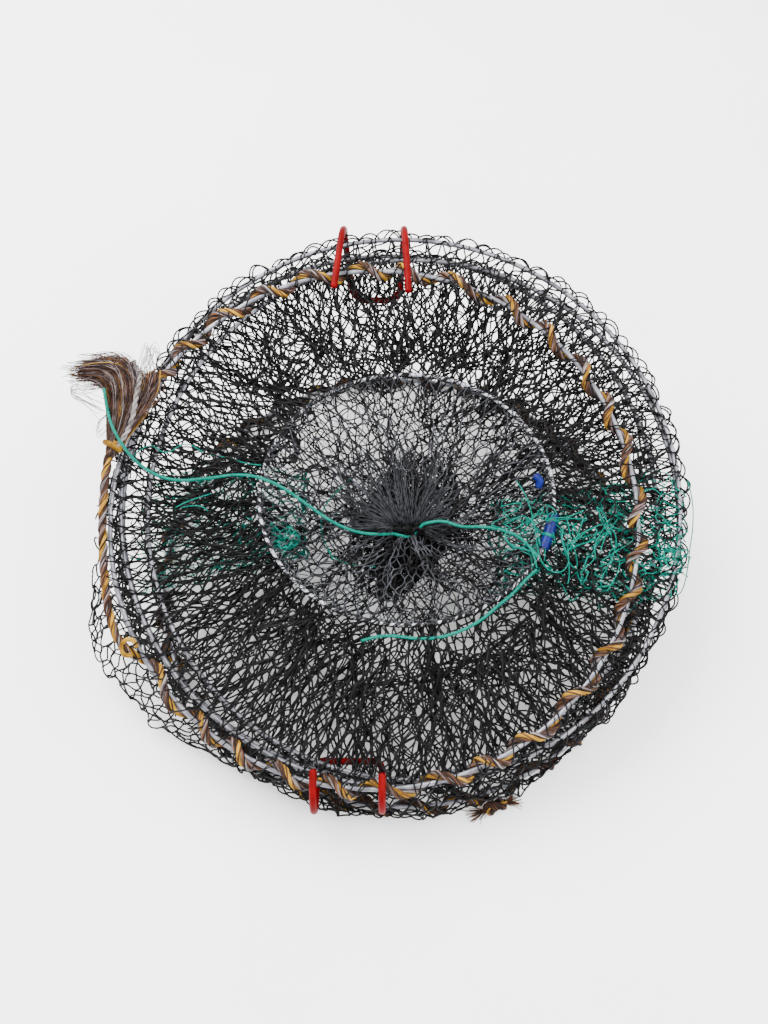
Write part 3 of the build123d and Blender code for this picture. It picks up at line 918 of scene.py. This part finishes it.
white_strand = line_points("white_strand", on_slope((
    (-322, 64, 20), (-315, 70, 24), (-306, 84, 28), (-301, 106, 31), (-300, 122, 32), (-297, 137, 31),
    (-300, 151, 29), (-306, 163, 27))))
for ply in strands(evenly(white_strand, 0.0015), 2, 0.0015, 0.019):
    tassel[white_yarn].append(tubes(strands(evenly(ply, 0.0015), 6, 0.001, 0.012), 0.0007, 4))
white_wisps = (
    (((-300, 140, 22), (-297, 158, 20), (-293, 172, 19), (-290, 187, 17), (-284, 175, 16), (-284, 156, 15)),
     14, 0.004),
    (((-338, 138, 16), (-357, 133, 15), (-378, 138, 14), (-376, 127, 14), (-357, 120, 14), (-336, 108, 16)),
     12, 0.005),
    (((-336, 104, 14), (-346, 98, 13), (-349, 86, 12), (-345, 77, 12), (-336, 84, 13)), 5, 0.002),
)
for guide, count, size in white_wisps:
    tassel[white_yarn].append(fibres((guide,), count, (size, size, 0.002), fibre_r, rng, 24, 0.9))
t = np.linspace(0, 2.4 * pi, 60)
neck_turns = slope(-0.3285 + 0.0085 * np.cos(t), 0.064 + 0.0006 * t - 0.004 * np.cos(t),
                   0.014 + 0.0085 * np.sin(t))
tassel[yellow_yarn].append(tubes(strands(neck_turns, 7, 0.0022, 0.03), 0.0011, 4))
pieces = [piece(f"rope_tassel_{material.name}", together(*shapes), material, "bunch")
          for material, shapes in tassel.items()]
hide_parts("rope_tassel")

knot_at = middle("bottom_rope_end")
out_from = unit((knot_at - floor_hoop) * (1, 1, 0))
along_hoop = np.cross(up, out_from)
t = np.linspace(0, 2 * pi, 40)[:, None]
knot_line = (knot_at + along_hoop * 0.0105 * np.cos(t) + out_from * 0.0032 * np.sin(2 * t)
             + up * (0.0012 + 0.003 * np.sin(t)))
knot_line[:, 2] = np.maximum(knot_line[:, 2], rope_reach)
end_rope = laid_rope("bottom_rope_knot", knot_line, "trap_base", yarn_mixes["dark"], 0.03, 0.002, 3)
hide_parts("bottom_rope_end")
t = np.linspace(0, 1, 8)[:, None]
frays = []
for side in (1, -1):
    away = along_hoop * side
    for _ in range(46):
        swing = rng.normal(size=3) * (0.005, 0.005, 0.003)
        line = knot_at + away * (0.008 + 0.018 * t) + swing * t ** 1.5 + up * 0.001 * rng.normal()
        line[:, 2] = np.maximum(line[:, 2] - 0.004 * t[:, 0], 0.0006)
        frays.append(line)
piece("bottom_rope_frays", tubes(np.array(frays), 0.0004), brown_yarn, "trap_base")


# ---- bare wire, coated wire and plastic kept from CAD ------------------------------------------------
def finish_node(node, material):
    data = frame["nodes"][node].data
    data.materials.clear()
    data.materials.append(material)
    data.shade_smooth()


for node in ("bottom_hoop", "top_hoop", "outer_hoop", "second_hoop", "third_hoop"):
    finish_node(node, galvanised)
finish_node("closure_ring", white_wire)
finish_node("ring_sleeve", blue_plastic)
for node in ("far_clip", "near_clip"):
    finish_node(node, red_coating)


# ---- floor and light ---------------------------------------------------------------------------------
floor_mesh = bpy.data.meshes.new("floor")
floor_mesh.from_pydata([(-6, -6, 0), (6, -6, 0), (6, 6, 0), (-6, 6, 0)], [], [(0, 1, 2, 3)])
floor_mesh.materials.append(floor_paper)
add(bpy.data.objects.new("floor", floor_mesh))


def soft_light(name, place, size, power):
    data = bpy.data.lights.new(name, "AREA")
    data.size = size
    data.energy = power
    light = add(bpy.data.objects.new(name, data))
    light.location = place
    light.rotation_euler = Vector(place).to_track_quat("Z", "Y").to_euler()


soft_light("key_light", (-1.2, 0.9, 2.4), 1.8, 230)
soft_light("fill_light", (1.6, -0.6, 2.2), 2.2, 110)
world = bpy.data.worlds.new("studio")
bpy.context.scene.world = world
world.use_nodes = True
world.node_tree.nodes["Background"].inputs["Color"].default_value = (1, 1, 1, 1)
world.node_tree.nodes["Background"].inputs["Strength"].default_value = 2.8
